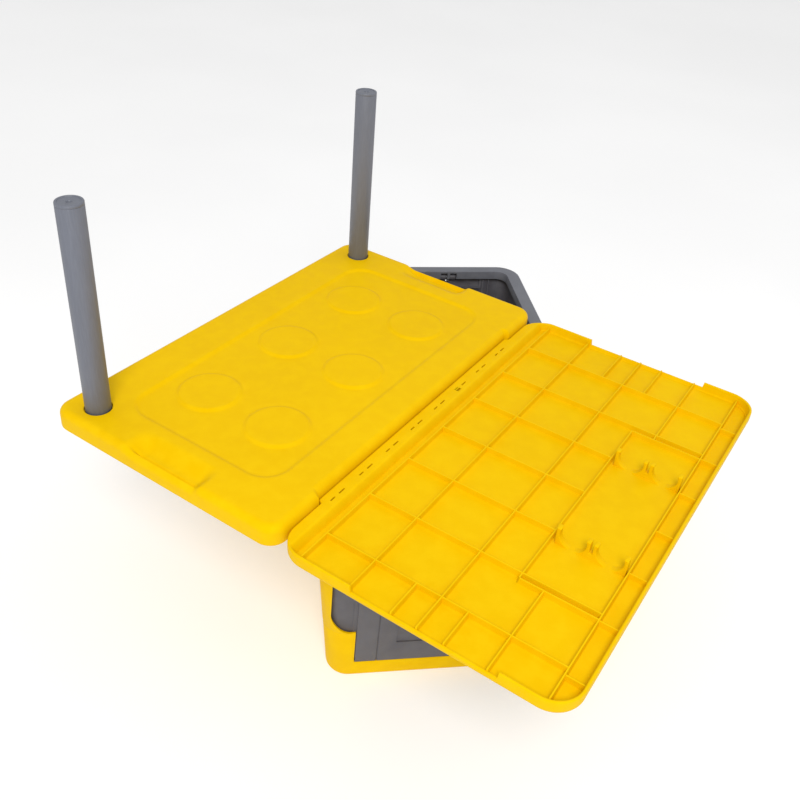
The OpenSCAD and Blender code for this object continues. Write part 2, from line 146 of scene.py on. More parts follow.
def lathe(name, profile, centre, axis="Z", sides=64, matrix=None):
    """Turned piece from a profile of (radius, height) in millimetres: both ends on the axis, or a closed loop."""
    verts = []
    faces = []
    turns = []
    looped = profile[0] == profile[-1]
    for r, h in profile[:-1] if looped else profile:
        if r < 1e-6:
            turns.append([len(verts)])
            verts.append((0.0, 0.0, h))
        else:
            turns.append(list(range(len(verts), len(verts) + sides)))
            for k in range(sides):
                a = 2 * math.pi * k / sides
                verts.append((r * math.cos(a), r * math.sin(a), h))
    if looped:
        turns.append(turns[0])
    for lower, upper in zip(turns, turns[1:]):
        for k in range(sides):
            n = (k + 1) % sides
            if len(lower) == 1:
                faces.append((lower[0], upper[n], upper[k]))
            elif len(upper) == 1:
                faces.append((lower[k], lower[n], upper[0]))
            else:
                faces.append((lower[k], lower[n], upper[n], upper[k]))
    if axis == "Y":
        verts = [(x, -z, y) for x, y, z in verts]
    if axis == "X":
        verts = [(z, y, -x) for x, y, z in verts]
    verts = [tuple(np.add(v, centre)) for v in verts]
    return make_object(name, verts, faces, matrix=matrix)


# ---------- leaf ----------

DISC_R = 33.0
DISCS = [(x, y) for x in (-188.0, -95.0) for y in (-131.0, -3.0, 124.0)]
FIELD = (-236.0, -43.5, -203.0, 198.0, 28.0)
FIELD_DROP = 2.2
DISC_RISE = 2.0
BULLNOSE = 8.0
SCOOP = (-190.0, -92.0)     # ends of the finger scoops, in X
SCOOP_DEPTH = 8.5
SCOOP_IN = 35.0
LIP_DROP = 4.0


def leaf_top(x, y, inset):
    """Height of the leaf's upper face; inset is the distance in from the leaf's edge."""
    z = np.full_like(x, LEAF_T)
    z -= FIELD_DROP * step(2.6, -2.6, round_rect(x, y, *FIELD))
    for cx, cy in DISCS:
        away = np.hypot(x - cx, y - cy)
        z += DISC_RISE * step(DISC_R + 1.9, DISC_R - 1.9, away)
        # Faint rim where the disc's face has sunk a little in cooling
        z -= 0.25 * step(DISC_R - 3, 0, away)
    for side in (-1, 1):
        depth_in = PANEL_L / 2 - side * y          # distance from the short edge
        along = step(SCOOP[0] - 3, SCOOP[0] + 24, x) * step(SCOOP[1] + 3, SCOOP[1] - 11, x)
        bowl = step(SCOOP_IN, 13.0, depth_in) * step(5.0, 8.5, depth_in)
        z -= SCOOP_DEPTH * along * bowl
        lip = step(SCOOP[0] - 2, SCOOP[0] + 16, x) * step(SCOOP[1] + 2, SCOOP[1] - 6, x)
        z -= LIP_DROP * lip * step(9.5, 6.5, depth_in)
    edge = np.clip(inset / BULLNOSE, 0, 1)
    return z - BULLNOSE * (1 - np.sqrt(1 - (1 - edge) ** 2))


def disc_map(a, b):
    """Square corner to quarter disc, keeping each ring at its own distance."""
    reach = np.maximum(a, b)
    length = np.hypot(a, b)
    scale = np.where(length > 1e-9, reach / np.maximum(length, 1e-9), 1.0)
    return a * scale, b * scale


def lines(lo, hi, spacing, fine):
    """Grid lines from lo to hi, with finer steps over the first and last stretch."""
    middle = np.linspace(lo + fine[-1], hi - fine[-1], max(2, int((hi - lo - 2 * fine[-1]) / spacing) + 1))
    return np.concatenate([lo + np.array(fine[:-1]), middle, hi - np.array(fine[:-1])[::-1]])


def slab(name, x0, x1, half_l, r, spacing, fine, top, bottom_r, warp):
    """Closed rounded slab on a grid whose lines follow its outline; top gives the upper face."""
    gx = lines(x0, x1, spacing, fine)
    gy = lines(-half_l, half_l, spacing, fine)
    x, y = np.meshgrid(gx, gy, indexing="ij")
    inset = np.minimum(np.minimum(x - x0, x1 - x), half_l - np.abs(y))
    # Corner squares become quarter discs
    cx = np.where(x < x0 + r, x0 + r, x1 - r)
    in_x = (x < x0 + r) | (x > x1 - r)
    in_y = np.abs(y) > half_l - r
    corner = in_x & in_y
    a = np.abs(x - cx) / r
    b = (np.abs(y) - (half_l - r)) / r
    ma, mb = disc_map(np.where(corner, a, 0), np.where(corner, b, 0))
    x = np.where(corner, cx + np.sign(x - cx) * ma * r, x)
    y = np.where(corner, np.sign(y) * (half_l - r + mb * r), y)
    z = top(x, y, inset)
    x = warp(x, y)
    nx, ny = x.shape
    verts = np.stack([x, y, z], axis=-1).reshape(-1, 3).tolist()
    faces = []
    for i in range(nx - 1):
        for j in range(ny - 1):
            k = i * ny + j
            faces.append((k, k + ny, k + ny + 1, k + 1))
    # Outline loop, then rings down the side and round the lower edge
    loop = [i * ny for i in range(nx)] + [(nx - 1) * ny + j for j in range(1, ny)]
    loop += [i * ny + ny - 1 for i in range(nx - 2, -1, -1)] + [j for j in range(ny - 2, 0, -1)]
    rim = [verts[k] for k in loop]
    centre = (x0 + x1) / 2
    previous = loop
    for drop in (0.0, 0.3, 0.6, 0.85, 1.0):
        pull = bottom_r * (1 - math.sqrt(max(0.0, 1 - drop * drop)))
        ring = []
        for px, py, pz in rim:
            ux = (px - centre) / (x1 - x0)
            uy = py / (2 * half_l)
            sx = 1 - 2 * pull / (x1 - x0)
            sy = 1 - pull / half_l
            ring.append(len(verts))
            verts.append([centre + ux * (x1 - x0) * sx, uy * 2 * half_l * sy, bottom_r * (1 - drop)])
        n = len(ring)
        for k in range(n):
            faces.append((previous[k], ring[k], ring[(k + 1) % n], previous[(k + 1) % n]))
        previous = ring
    faces.append(tuple(reversed(previous)))
    return make_object(name, verts, faces, smooth_angle=50)


def leaf_warp(x, y):
    """Sets the leaf's hinge edge back where the lid's flange stands out."""
    inside = step(FLANGE_HALF + 2.5, FLANGE_HALF - 0.5, np.abs(y))
    return x - JOG * inside * step(-22.0, 0.0, x)


def cutter(name, r, cx, cy, z0, z1, sides=72):
    """Plain round tool for cutting a hole, in the lid frame."""
    return lathe(name, [(0, z0), (r, z0), (r, z1), (0, z1)], (cx, cy, 0), sides=sides)


def build_leaf():
    leaf = slab("leaf_panel", -LEAF_W, 1.0, PANEL_L / 2, LEAF_R, 1.7,
                [0.0, 0.15, 0.5, 1.1, 2.0, 3.2, 4.7, 6.4, 8.2, 10.0],
                leaf_top, 3.0, leaf_warp)
    for side in (-1, 1):
        hole = cutter("hole_tool", LEG_R + 1.3, LEG_X, side * LEG_Y, 2.6, 40)
        combine(leaf, hole, "DIFFERENCE")
    shade(leaf, 50)
    return leaf


# ---------- lid tray ----------

RIBS_Y = [28.0, 81.0, 149.0, 191.0, 215.0, 266.0]   # A to F, along the hinge
ROWS = [-10.0 + 66.0 * (i - 3) for i in range(7)]
BAY = (-149.0, 113.0)
SHORT_RIBS = (124.0, 175.0)
NOTCH = (84.0, 225.0, 7.0)
END = PANEL_L / 2
STATIONS = [-6.5 + 45.3 * (i - 3) for i in range(7)]
SLOT_SETS = [-6.5 + 45.3 * (i - 3.5) for i in range(8)]


def rib_list():
    """Each rib as (runs along Y?, place, from, to, top)."""
    a, b, c, d, e, f = RIBS_Y
    ribs = [(True, x, -END, END, RIB_H) for x in (a, b, c, f)]
    ribs += [(True, d, BAY[0], BAY[1], RIB_H), (True, e, -END, BAY[0], RIB_H), (True, e, BAY[1], END, RIB_H)]
    for i, y in enumerate(ROWS):
        ribs.append((False, y, a, d if 1 < i < 5 else f, RIB_H))
        ribs.append((False, y - 7.0, f, LID_W, RIB_H - 1))
    ribs += [(False, y, d, f, RIB_H) for y in BAY]
    for x in SHORT_RIBS:
        ribs += [(True, x, -END, ROWS[0], RIB_H), (True, x, ROWS[-1], END, RIB_H)]
    return ribs


def tray_top(x, y):
    """Height of the lid's ribbed face."""
    floor = np.where(x > RIBS_Y[-1], CHANNEL_FLOOR, TRAY_FLOOR)
    z = floor + 0.0
    for along_y, place, lo, hi, top in rib_list():
        across = np.abs((x if along_y else y) - place)
        run = y if along_y else x
        mask = ((run >= lo - 0.4) & (run <= hi + 0.4)).astype(float)
        crest = (top - floor) * step(1.45, 0.65, across)
        foot = 0.55 * step(4.2, 1.2, across)
        z = np.maximum(z, floor + mask * np.maximum(crest, foot))
    flange = FLANGE_TOP * step(22.0, 13.0, x)
    for s in STATIONS:
        flange += 0.5 * np.exp(-((x - 9) / 5.0) ** 2 - ((y - s) / 8.0) ** 2) * (x < 16)
    return np.maximum(z, flange)


def ruled(lo, hi, places, spacing):
    """Sorted grid lines from lo to hi, gathered round each place."""
    around = (-4.2, -2.8, -1.9, -1.45, -1.2, -0.95, -0.65, 0.65, 0.95, 1.2, 1.45, 1.9, 2.8, 4.2)
    marks = sorted({round(p + d, 3) for p in places for d in around if lo < p + d < hi} | {lo, hi})
    kept = [marks[0]]
    for m in marks[1:]:
        if m - kept[-1] > 0.12:
            kept.append(m)
    out = [kept[0]]
    for m in kept[1:]:
        n = max(1, int(math.ceil((m - out[-1]) / spacing)))
        start = out[-1]
        out += [start + (m - start) * k / n for k in range(1, n + 1)]
    return np.array(out)


def tray_plate():
    """Closed plate with the flange and ribs on top, running a little under the walls."""
    gx = ruled(-6.0, LID_W + 2, RIBS_Y + list(SHORT_RIBS) + [16.0, 20.0], 5.0)
    gy = ruled(-END - 2, END + 2, ROWS + [r - 7.0 for r in ROWS] + list(BAY), 5.0)
    x, y = np.meshgrid(gx, gy, indexing="ij")
    z = tray_top(x, y)
    nx, ny = x.shape
    verts = np.stack([x, y, z], axis=-1).reshape(-1, 3).tolist()
    faces = []
    for i in range(nx - 1):
        for j in range(ny - 1):
            k = i * ny + j
            faces.append((k, k + ny, k + ny + 1, k + 1))
    loop = [i * ny for i in range(nx)] + [(nx - 1) * ny + j for j in range(1, ny)]
    loop += [i * ny + ny - 1 for i in range(nx - 2, -1, -1)] + [j for j in range(ny - 2, 0, -1)]
    base = []
    for k in loop:
        base.append(len(verts))
        verts.append([verts[k][0], verts[k][1], 0.0])
    n = len(loop)
    for k in range(n):
        faces.append((loop[k], base[k], base[(k + 1) % n], loop[(k + 1) % n]))
    faces.append(tuple(reversed(base)))
    return make_object("lid_plate", verts, faces)


def lid_loop(inset):
    """Points of the lid's outline, set in by inset; every inset gives the same number of points."""
    x0, x1, yb = 2.0 + inset, LID_W - inset, END - inset
    r = LID_R - inset
    points = []

    def arc(cx, cy, start):
        for k in range(17):
            a = math.radians(start + 90.0 * k / 16)
            points.append((cx + r * math.cos(a), cy + r * math.sin(a)))

    notch_marks = [NOTCH[0] - 0.5, NOTCH[0] + 0.5, NOTCH[1] - 0.5, NOTCH[1] + 0.5]
    arc(2.0 + LID_R, -END + LID_R, 180)
    points += [(x, -yb) for x in notch_marks]
    arc(LID_W - LID_R, -END + LID_R, 270)
    arc(LID_W - LID_R, END - LID_R, 0)
    points += [(x, yb) for x in reversed(notch_marks)]
    arc(2.0 + LID_R, END - LID_R, 90)
    for side in (1, -1):
        bend = [(x0 - JOG * t * t * (3 - 2 * t), side * (FLANGE_HALF + 1.0 - inset - 3.0 * t))
                for t in (0.0, 0.25, 0.5, 0.75, 1.0)]
        points += bend if side > 0 else bend[::-1]
    return points


def wall_top(x, y):
    """Height of the lid's outer wall along its outline."""
    if abs(y) > END - 10 and NOTCH[0] < x < NOTCH[1]:
        return TRAY_H - NOTCH[2]
    ramp = min(1.0, max(0.0, (x - 10.0) / 22.0))
    return FLANGE_TOP + (TRAY_H - FLANGE_TOP) * ramp * ramp * (3 - 2 * ramp)


def tray_walls():
    """The lid's perimeter wall: one closed section carried round the outline."""
    section = [(3.4, 0.0, 0), (1.9, 0.35, 0), (0.8, 1.1, 0), (0.2, 2.4, 0), (0.0, 4.2, 0),
               (0.0, -1.2, 1), (0.2, -0.5, 1), (0.8, -0.05, 1), (1.5, 0.0, 1), (2.2, -0.15, 1),
               (2.6, -0.6, 1), (2.9, -1.4, 1), (3.2, 5.0, 0), (3.7, 3.9, 0), (4.6, 3.3, 0), (4.6, 0.0, 0)]
    outline = lid_loop(0.0)
    heights = [wall_top(x, y) for x, y in outline]
    verts = []
    n = len(outline)
    for inset, z, from_top in section:
        for (x, y), h in zip(lid_loop(inset), heights):
            verts.append((x, y, h + z if from_top else z))
    faces = []
    m = len(section)
    for i in range(m):
        for k in range(n):
            a, b = i * n + k, i * n + (k + 1) % n
            c, d = ((i + 1) % m) * n + (k + 1) % n, ((i + 1) % m) * n + k
            faces.append((a, b, c, d))
    return make_object("lid_walls", verts, faces)


def prism(name, loop, z0, z1, matrix=None):
    """Closed straight prism over an outline in millimetres."""
    n = len(loop)
    verts = [(x, y, z0) for x, y in loop] + [(x, y, z1) for x, y in loop]
    faces = [tuple(range(n))[::-1], tuple(range(n, 2 * n))]
    faces += [(k, (k + 1) % n, n + (k + 1) % n, n + k) for k in range(n)]
    return make_object(name, verts, faces, matrix=matrix)


def join(name, parts):
    """Joins mesh objects into one; the faces keep their material indices, but the materials themselves are not carried
    over.
    """
    bm = bmesh.new()
    for part in parts:
        bm.from_mesh(part.data)
    mesh = bpy.data.meshes.new(name)
    bm.to_mesh(mesh)
    bm.free()
    for part in parts:
        bpy.data.objects.remove(part)
    ob = bpy.data.objects.new(name, mesh)
    bpy.context.scene.collection.objects.link(ob)
    return ob


def box_loop(x0, x1, y0, y1):
    return [(x0, y0), (x1, y0), (x1, y1), (x0, y1)]


def build_lid():
    plate = tray_plate()
    combine(plate, prism("trim_tool", lid_loop(2.0), -5, 40), "INTERSECT")
    combine(plate, tray_walls(), "UNION")
    slots = []
    for y in SLOT_SETS:
        slots.append(prism("slot_tool", box_loop(6.2, 7.8, y - 11, y - 4), -3, 30))
        slots.append(prism("slot_tool", box_loop(6.2, 7.8, y + 2, y + 11), -3, 30))
    combine(plate, join("slot_tools", slots), "DIFFERENCE")
    plate.name = "lid_panel"
    shade(plate, 38)
    return plate


def knuckles(name, side):
    """Seven hinge knuckles on one side of each station."""
    parts = []
    for s in STATIONS:
        y = s + side * 4.7
        profile = [(1.5, -4.5), (3.6, -4.5), (4.2, -3.9), (4.2, 3.9), (3.6, 4.5), (1.5, 4.5), (1.5, -4.5)]
        parts.append(lathe(name + "_part", profile, (HINGE_X, y, HINGE_Z), axis="Y", sides=40))
    ob = join(name, parts)
    shade(ob, 35)
    return ob


# ---------- legs ----------

def leg_pieces(word, side):
    """Tube and foot cap of one leg."""
    at = (LEG_X, side * LEG_Y, 0)
    top = LEAF_T + LEG_OUT
    tube = lathe("leg_" + word, [(11.2, 5.8), (12.7, 5.8), (13.0, 6.2), (13.0, top - 3.5), (12.8, top - 3.15),
                                 (11.2, top - 3.15), (11.2, 5.8)], at, sides=96)
    cap = lathe("foot_cap_" + word, [(0, top - 15), (11.0, top - 15), (11.0, top - 3.05), (12.8, top - 3.05),
                                     (13.0, top - 2.8), (13.0, top - 1.2), (12.6, top - 0.35), (11.8, top),
                                     (10.6, top - 0.1), (10.1, top - 0.8), (3.4, top - 0.8), (2.9, top - 1.1),
                                     (2.4, top - 2.2), (0, top - 2.2)], at, sides=96)
    return tube, cap


# ---------- crate ----------

CRATE_W, CRATE_L, CRATE_H = 312.0, 507.0, 244.0
OVERHANG = 3.5
TAPER = 16.0
CORNER = 25.0
BAND = 23.0
SIDE_H = 74.5
BASE_IN = 0.8
MID = 0.655 * CRATE_H
PANEL_HALF = 107.0
WINDOW_HALF = 134.5
SWEEP_R = 25.0
GROOVE_X = 84.0
RECESS = (64.0, 30.5, 38.0)    # half width, lower edge up the panel, height
LEAN = math.atan(TAPER / CRATE_H)
PIVOT_X, PIVOT_Y, PIVOT_Z = 57.5, CRATE_L / 2 - 10.5, CRATE_H - 12.0
LUG_HALF = 1.7
BARREL_AT = 6.7
NOTCH_W = 9.6
CLIP_UP = (-60.0, 0.0, 60.0)
CLIP_DOWN = (-90.0, -30.0, 30.0, 90.0)
ROW = Matrix.Identity(4)


def rect_loop(half_x, half_y, r, arc=20):
    """Rounded rectangle; the number of points depends only on arc."""
    points = []
    for cx, cy, start in ((1, 1, 0), (-1, 1, 90), (-1, -1, 180), (1, -1, 270)):
        for k in range(arc + 1):
            a = math.radians(start + 90.0 * k / arc)
            points.append((cx * (half_x - r) + r * math.cos(a), cy * (half_y - r) + r * math.sin(a)))
    return points


def half_l(z):
    return CRATE_L / 2 - OVERHANG - TAPER * (1 - z / CRATE_H)


def wall_at(inset, z):
    """Outline of the tapered wall at height z, set in from its outer face."""
    shrink = OVERHANG + TAPER * (1 - z / CRATE_H) + inset
    return rect_loop(CRATE_W / 2 - shrink, CRATE_L / 2 - shrink, max(CORNER - inset, 2.0))


def rim_at(inset, z):
    """Outline of the rim at one inset; its inner corners are rounder than a plain offset."""
    r = 28.0 - inset if inset <= 4.0 else 24.0 - (inset - 4.0) * 10.0 / 14.0
    return rect_loop(CRATE_W / 2 - inset, CRATE_L / 2 - inset, r)


def rings(name, section, outline, closed, matrix=ROW):
    """Skin through one loop per section point; closed joins last to first, else both ends are capped."""
    verts = []
    for inset, z in section:
        verts += [(x, y, z) for x, y in outline(inset, z)]
    n = len(verts) // len(section)
    m = len(section)
    faces = []
    for i in range(m if closed else m - 1):
        for k in range(n):
            j = (i + 1) % m
            faces.append((i * n + k, i * n + (k + 1) % n, j * n + (k + 1) % n, j * n + k))
    if not closed:
        faces.append(tuple(range(n))[::-1])
        faces.append(tuple(range((m - 1) * n, m * n)))
    return make_object(name, verts, faces, matrix=matrix)


def block(name, x0, x1, y0, y1, z0, z1, matrix=ROW):
    return prism(name, box_loop(x0, x1, y0, y1), z0, z1, matrix=matrix)


def build_base():
    """Yellow tray with high long sides, a soft lower edge and a stepped underside."""
    g, h = BASE_IN, SIDE_H
    section = [(g + 40.0, 1.3), (g + 15.6, 1.3), (g + 14.4, 0.0), (g + 3.2, 0.0), (g + 1.4, 0.35), (g + 0.5, 1.1),
               (g + 0.1, 2.3), (g, 4.0), (g, h - 0.9), (g + 0.2, h - 0.3), (g + 0.6, h - 0.1), (g + 1.9, h - 0.1),
               (g + 2.3, h - 0.3), (g + 2.5, h - 1.0), (g + 2.5, 7.5), (g + 3.1, 5.0), (g + 4.6, 3.3),
               (g + 6.8, 2.7), (g + 9.8, 2.6), (g + 40.0, 2.6)]
    base = rings("base_shell", section, wall_at, False)
    half = PANEL_HALF + 1
    ends = block("ends_tool", -half, half, -CRATE_L, CRATE_L, BAND, CRATE_H)
    bevel(ends, 2.0, 3)
    combine(base, ends, "DIFFERENCE")
    clips = [fold_clip(side, y, False, SIDE_H) for side in (-1, 1) for y in CLIP_DOWN]
    combine(base, join("clip_tools", clips), "UNION")
    bevel(base, 0.4, 2, 50)
    return base


def window_tool(sweep=True):
    """Prism along Y that cuts the end opening out of the wrapped side walls."""
    top = CRATE_H + 20
    half = WINDOW_HALF
    loop = []
    for k in range(17):
        a = math.radians(90.0 * k / 16)
        loop.append((half - SWEEP_R + SWEEP_R * math.sin(a), SIDE_H + SWEEP_R - SWEEP_R * math.cos(a)))
    loop += [(half, top), (-half, top)]
    for k in range(17):
        a = math.radians(90.0 * (16 - k) / 16)
        loop.append((-half + SWEEP_R - SWEEP_R * math.sin(a), SIDE_H + SWEEP_R - SWEEP_R * math.cos(a)))
    tip = Matrix.Rotation(math.radians(90), 4, "X")
    return prism("window_tool", loop, -CRATE_L, CRATE_L, matrix=tip)


def beyond_tool(side, start):
    x0, x1 = sorted((side * start, side * 2 * CRATE_W))
    return block("beyond_tool", x0, x1, -2 * CRATE_L, 2 * CRATE_L, -20, CRATE_H + 20)


def build_lower(word, side):
    section = [(0.0, SIDE_H + 0.15), (0.0, MID - 0.1), (2.5, MID - 0.1), (2.5, SIDE_H + 0.15)]
    wall = rings("lower_wall_" + word, section, wall_at, True)
    combine(wall, beyond_tool(side, PANEL_HALF + 1), "INTERSECT")
    combine(wall, window_tool(), "DIFFERENCE")
    clips = [fold_clip(side, y, False, MID) for y in CLIP_DOWN]
    clips += [fold_clip(side, y, True, SIDE_H) for y in CLIP_UP]
    combine(wall, join("clip_tools", clips), "UNION")
    bevel(wall, 0.55, 2)
    return wall


def fold_clip(side, y, upper, z):
    """Block round a fold rod on the inner face of a long wall."""
    inset = 6.1 + (BASE_IN if z < MID else 0.0)
    rod_x = CRATE_W / 2 - OVERHANG - TAPER * (1 - z / CRATE_H) - inset
    out = 5.4 if upper else 4.0
    x0, x1 = sorted((side * (rod_x - 3.2), side * (rod_x + out)))
    z0 = z + 0.2 if upper else z - 8
    part = block("clip_tool", x0, x1, y - 8, y + 8, z0, z0 + 7.8)
    bore = lathe("bore_tool", [(0, -12), (2.3, -12), (2.3, 12), (0, 12)], (side * rod_x, y, z), axis="Y",
                 sides=32, matrix=ROW)
    combine(part, bore, "DIFFERENCE")
    return part


def build_upper(word, side):
    top = CRATE_H - 3.1
    section = [(0.0, MID + 0.1), (0.0, top), (2.5, top), (2.5, MID + 0.1)]
    wall = rings("upper_wall_" + word, section, wall_at, True)
    combine(wall, beyond_tool(side, WINDOW_HALF), "INTERSECT")
    clips = [fold_clip(side, y, True, MID) for y in CLIP_UP]
    combine(wall, join("clip_tools", clips), "UNION")
    bevel(wall, 0.5, 2)
    return wall


def build_post(word, side, fore):
    """Grey rounded corner with a turned-in edge beside the end panel."""
    top = CRATE_H - 3.1
    section = [(3.5, BAND + 0.1), (3.5, top), (5.7, top), (5.7, BAND + 0.1)]
    post = rings("corner_" + word, section, wall_at, True)
    combine(post, beyond_tool(side, PANEL_HALF + 1), "INTERSECT")
    edge = CRATE_L / 2 - OVERHANG - 140
    y0, y1 = sorted((fore * edge, fore * CRATE_L))
    combine(post, block("keep_tool", -CRATE_W, CRATE_W, y0, y1, -10, CRATE_H), "INTERSECT")
    # Upright strips that stiffen the inner face
    strips = []
    for d in (1.0, 9.0):
        x0, x1 = sorted((side * (PANEL_HALF + d), side * (PANEL_HALF + d + 1.6)))
        wall_y = half_l(BAND) - 5.6
        y0, y1 = sorted((fore * (wall_y - 3.4), fore * (wall_y + 0.9)))
        tilt = Matrix.Translation((0, fore * wall_y * MM, BAND * MM)) @ Matrix.Rotation(-fore * LEAN, 4, "X")
        tilt = tilt @ Matrix.Translation((0, -fore * wall_y * MM, -BAND * MM))
        strips.append(block("strip_tool", x0, x1, y0, y1, BAND + 1.5, CRATE_H - 13.0, matrix=tilt))
    combine(post, join("strip_tools", strips), "UNION")
    bevel(post, 0.5, 2)
    return post


def build_rim():
    """Flat band with a lower outer step, two skirts underneath and the end panels' lugs."""
    h = CRATE_H
    section = [(0.5, h - 16.0), (0.0, h - 15.4), (0.0, h - 2.8), (0.25, h - 2.2), (0.8, h - 2.0), (3.3, h - 2.0),
               (3.8, h - 1.85), (4.0, h - 1.5), (4.0, h - 0.6), (4.2, h - 0.15), (4.7, h), (17.2, h), (17.8, h - 0.2),
               (18.0, h - 0.8), (18.0, h - 11.6), (17.7, h - 12.0), (15.8, h - 12.0), (15.5, h - 11.7),
               (15.5, h - 3.4), (15.0, h - 3.0), (3.6, h - 3.0), (3.0, h - 3.5), (3.0, h - 15.6), (2.6, h - 16.0)]
    rim = rings("rim_band", section, rim_at, True)
    lugs = []
    notches = []
    for fore in (-1, 1):
        inner = CRATE_L / 2 - 18.0
        y0, y1 = sorted((fore * (inner - 0.5), fore * (inner + 3.2)))
        for x in (-PIVOT_X, PIVOT_X):
            for s in (-1, 1):
                at = x + s * (LUG_HALF + NOTCH_W / 2)
                notches.append(block("notch_tool", at - NOTCH_W / 2, at + NOTCH_W / 2, y0, y1, h - 20, h - 3.0))
            lug = block("lug_tool", x - LUG_HALF, x + LUG_HALF, fore * PIVOT_Y - 4, fore * PIVOT_Y + 4,
                        PIVOT_Z - 5, h - 2.5)
            bevel(lug, 0.6, 3)
            bore = lathe("bore_tool", [(0, -12), (2.6, -12), (2.6, 12), (0, 12)], (x, fore * PIVOT_Y, PIVOT_Z),
                         axis="X", sides=40, matrix=ROW)
            combine(lug, bore, "DIFFERENCE")
            lugs.append(lug)
    combine(rim, join("notch_tools", notches), "DIFFERENCE")
    combine(rim, join("lug_tools", lugs), "UNION")
    shade(rim, 30)
    return rim


def build_end(word, fore):
    """End wall with rails and ribs inside, and grooves and a recess outside; built at the front, then turned."""
    z0 = BAND + 0.7
    length = (PIVOT_Z + 3.5 - z0) / math.cos(LEAN)
    place = Matrix.Translation((0, (-half_l(z0) + 1) * MM, z0 * MM)) @ Matrix.Rotation(LEAN, 4, "X")
    half = PANEL_HALF
    panel = block("end_wall_" + word, -half, half, 0, 3, 0, length, matrix=place)
    add = []
    for x in (-half + 0.6, -GROOVE_X, GROOVE_X - 2.0, half - 2.6):
        add.append(block("rib_tool", x, x + 2, 2.5, 5.8, 5.0, length - 21, matrix=place))
    # Edge strips that close the gap to the corner liners
    add += [block("strip_tool", x, x + 7.5, 2.0, 5.6, 4.4, length - 3.0, matrix=place)
            for x in (-half - 4.5, half - 3.0)]
    for z in (4.0, length * 0.5, length - 22.0):
        add.append(block("rib_tool", -half + 0.6, half - 0.6, 2.5, 6, z, z + 2, matrix=place))
    for tool in add:
        combine(panel, tool, "UNION")
    for x in (-PIVOT_X, PIVOT_X):
        for s in (-1, 1):
            barrel = lathe("barrel_tool", [(0, -4.5), (3.9, -4.5), (4.5, -3.9), (4.5, 3.9), (3.9, 4.5), (0, 4.5)],
                           (x + s * BARREL_AT, -PIVOT_Y, PIVOT_Z), axis="X", sides=48, matrix=ROW)
            combine(panel, barrel, "UNION")
    for x in (-PIVOT_X, PIVOT_X):
        pocket = block("pocket_tool", x - 2.2, x + 2.2, -CRATE_L / 2, -CRATE_L / 2 + 40, PIVOT_Z - 9, PIVOT_Z + 21)
        combine(panel, pocket, "DIFFERENCE")
        bore = lathe("bore_tool", [(0, -22), (2.5, -22), (2.5, 22), (0, 22)], (x, -PIVOT_Y, PIVOT_Z), axis="X",
                     sides=40, matrix=ROW)
        combine(panel, bore, "DIFFERENCE")
    for x in (-GROOVE_X, GROOVE_X):
        combine(panel, block("groove_tool", x - 0.7, x + 0.7, -1, 0.8, -1, length + 2, matrix=place), "DIFFERENCE")
    wide, low, tall = RECESS
    combine(panel, block("recess_tool", -wide, wide, -1, 1.2, low, low + tall, matrix=place), "DIFFERENCE")
    bevel(panel, 0.4, 2)
    if fore > 0:
        panel.data.transform(Matrix.Rotation(math.pi, 4, "Z"))
    return panel


def build_clip(word, y):
    """Two snap-in saddles for the stowed legs, with flared arms."""
    low, high = 211.5, 247.5
    x0, x1 = low - LEG_R - 3.4, high + LEG_R + 3.4
    clip = prism("clip_" + word, box_loop(x0, x1, y - 3.5, y + 3.5), 2.0, 22.0)
    for x in (low, high):
        combine(clip, lathe("saddle_tool", [(0, -6), (13.3, -6), (13.3, 6), (0, 6)], (x, y, 16.3), axis="Y",
                            sides=72), "DIFFERENCE")
        combine(clip, prism("mouth_tool", box_loop(x - 12.4, x + 12.4, y - 6, y + 6), 18.2, 40), "DIFFERENCE")
    mid = (low + high) / 2
    combine(clip, prism("gap_tool", box_loop(mid - 1.6, mid + 1.6, y - 6, y + 6), 10.0, 40), "DIFFERENCE")
    bevel(clip, 0.6, 3)
    return clip


# ---------- materials ----------

def add_node(tree, kind, values=None, **settings):
    """New shader node with its settings and its sockets' values."""
    n = tree.nodes.new(kind)
    for key, value in settings.items():
        setattr(n, key, value)
    for key, value in (values or {}).items():
        n.inputs[key].default_value = value
    return n


def new_material(name):
    mat = bpy.data.materials.new(name)
    mat.use_nodes = True
    tree = mat.node_tree
    tree.nodes.clear()
    out = add_node(tree, "ShaderNodeOutputMaterial")
    shader = add_node(tree, "ShaderNodeBsdfPrincipled")
    tree.links.new(shader.outputs["BSDF"], out.inputs["Surface"])
    coord = add_node(tree, "ShaderNodeTexCoord")
    return mat, tree, shader, coord.outputs["Object"]


def noise(tree, where, scale, detail=3.0, rough=0.5, stretch=None):
    """Noise in the object's own space, optionally stretched along an axis."""
    if stretch:
        mapping = add_node(tree, "ShaderNodeMapping", {"Scale": stretch})
        tree.links.new(where, mapping.inputs["Vector"])
        where = mapping.outputs["Vector"]
    n = add_node(tree, "ShaderNodeTexNoise", {"Scale": scale, "Detail": detail, "Roughness": rough})
    tree.links.new(where, n.inputs["Vector"])
    return n.outputs["Fac"]


def spread(tree, fac, low, high, out_low=0.0, out_high=1.0):
    n = add_node(tree, "ShaderNodeMapRange", {"From Min": low, "From Max": high, "To Min": out_low,
                                              "To Max": out_high}, interpolation_type="SMOOTHSTEP")
    tree.links.new(fac, n.inputs["Value"])
    return n.outputs["Result"]


def blend_colour(tree, fac, a, b):
    """Mix of two colours, each a tuple or another node's output."""
    n = add_node(tree, "ShaderNodeMix", data_type="RGBA")
    tree.links.new(fac, n.inputs[0])
    for socket, value in ((n.inputs[6], a), (n.inputs[7], b)):
        if isinstance(value, tuple):
            socket.default_value = (*value, 1.0)
        else:
            tree.links.new(value, socket)
    return n.outputs[2]


